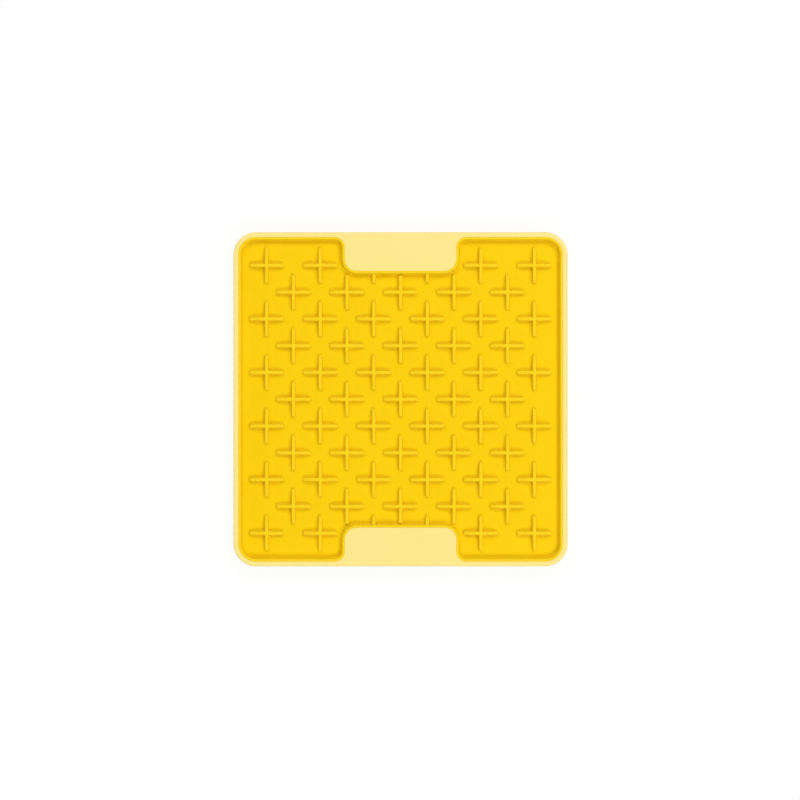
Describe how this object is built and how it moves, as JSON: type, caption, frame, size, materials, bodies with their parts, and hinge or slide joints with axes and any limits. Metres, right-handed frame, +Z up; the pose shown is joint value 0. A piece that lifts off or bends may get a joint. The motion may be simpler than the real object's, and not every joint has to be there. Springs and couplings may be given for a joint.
{
  "type": "lick mat",
  "caption": "Square lick mat: stiff pale tray with a rim and two flat tabs, and a soft pad of cross-shaped ribs moulded into its pocket, on corner grip feet.",
  "frame": {"origin": "middle of the mat, on the surface that its feet stand on", "axes": "+Z up out of the licking surface, +X along the tabs to the right, +Y from the front tab to the rear one"},
  "size_m": [0.2, 0.2, 0.0106],
  "materials": {
    "tray_plastic": "pale yellow polypropylene, satin as moulded",
    "pad_rubber": "deep yellow food-safe thermoplastic rubber, smooth satin",
    "foot_rubber": "deep yellow thermoplastic rubber, matt"
  },
  "bodies": {
    "root": {"tray": "tray_plastic", "lick_pad": "pad_rubber", "foot_front_left": "foot_rubber", "foot_front_right": "foot_rubber", "foot_rear_left": "foot_rubber", "foot_rear_right": "foot_rubber"}
  },
  "joints": []
}
